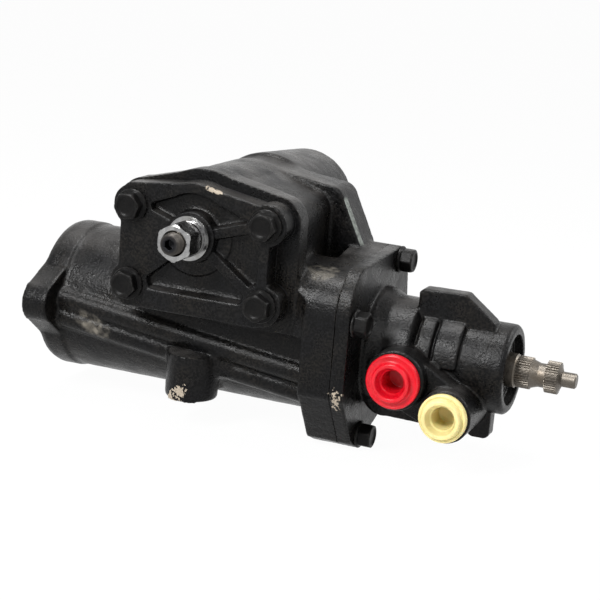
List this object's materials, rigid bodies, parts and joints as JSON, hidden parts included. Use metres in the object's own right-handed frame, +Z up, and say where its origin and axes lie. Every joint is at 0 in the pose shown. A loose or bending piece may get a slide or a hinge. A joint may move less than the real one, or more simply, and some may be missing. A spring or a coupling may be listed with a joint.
{
  "type": "steering gearbox",
  "caption": "Recirculating ball power steering gear: cast housing with a closed cylinder, ribbed side cover, rotary valve housing, splined input shaft and capped ports.",
  "frame": {"origin": "on the sector shaft's axis, where the output serrations end and the round end begins", "axes": "+X along the worm towards the input splines, +Y along the sector shaft towards its output end, +Z up with the sector above the worm"},
  "size_m": [0.364, 0.2785, 0.1734],
  "materials": {
    "casting": "satin black paint over a sand cast skin",
    "black_bolts": "satin black paint",
    "zinc": "bright zinc plate",
    "shaft_steel": "bare ground steel",
    "inner_steel": "ground and oiled",
    "bearing_steel": "polished",
    "piston_iron": "machined and oiled",
    "seal_rubber": "moulded",
    "seal_plastic": "filled plastic",
    "seat_brass": "machined",
    "plug_red": "moulded, glossy",
    "plug_ivory": "moulded, glossy"
  },
  "bodies": {
    "housing": {"gear_housing": "casting", "valve_housing": "casting", "sector_cover": "casting", "cover_gasket": "seal_rubber", "cover_bolts": "black_bolts", "valve_bolts": "black_bolts", "adjuster_screw": "shaft_steel", "adjuster_locknut": "zinc", "adjuster_washer": "zinc", "cover_bearing": "bearing_steel", "housing_bearing": "bearing_steel", "output_seal": "seal_rubber", "output_snap_ring": "inner_steel", "worm_bearing": "bearing_steel", "valve_seal_ring": "seal_rubber", "port_seats": "seat_brass", "input_bearing": "bearing_steel", "input_seal": "seal_rubber", "input_snap_ring": "inner_steel"},
    "worm": {"worm_shaft": "inner_steel", "valve_sleeve": "inner_steel", "sleeve_rings": "seal_plastic", "torsion_bar": "inner_steel", "sleeve_pin": "inner_steel"},
    "input": {"input_shaft": "shaft_steel"},
    "piston": {"piston_rack": "piston_iron", "piston_ring": "piston_iron", "circulating_balls": "bearing_steel", "return_guides": "inner_steel", "guide_clamp": "inner_steel"},
    "sector": {"sector_shaft": "shaft_steel"},
    "pressure_plug": {"pressure_plug": "plug_red"},
    "return_plug": {"return_plug": "plug_ivory"}
  },
  "joints": [
    {"name": "worm_turn", "type": "hinge", "parent": "housing", "child": "worm", "pos_m": [0, -0.148, -0.069], "axis": [1, 0, 0], "range_deg": [-720, 720]},
    {"name": "torsion_twist", "type": "hinge", "parent": "worm", "child": "input", "pos_m": [0, -0.148, -0.069], "axis": [1, 0, 0], "range_deg": [-6, 6], "stiffness_Nm_per_rad": 60},
    {"name": "piston_slide", "type": "slide", "parent": "housing", "child": "piston", "axis": [1, 0, 0], "range_m": [-0.0281, 0.0281]},
    {"name": "sector_swing", "type": "hinge", "parent": "housing", "child": "sector", "pos_m": [0, 0, 0], "axis": [0, 1, 0], "range_deg": [-42.5, 42.5]},
    {"name": "pressure_plug_pull", "type": "slide", "parent": "housing", "child": "pressure_plug", "axis": [0, -1, 0], "range_m": [0, 0.022]},
    {"name": "return_plug_pull", "type": "slide", "parent": "housing", "child": "return_plug", "axis": [0, -1, 0], "range_m": [0, 0.022]}
  ],
  "couplings": [
    {"joint": "piston_slide", "follows": "worm_turn", "m_per_rad": 0.0022282},
    {"joint": "sector_swing", "follows": "worm_turn", "ratio": -0.058636}
  ]
}
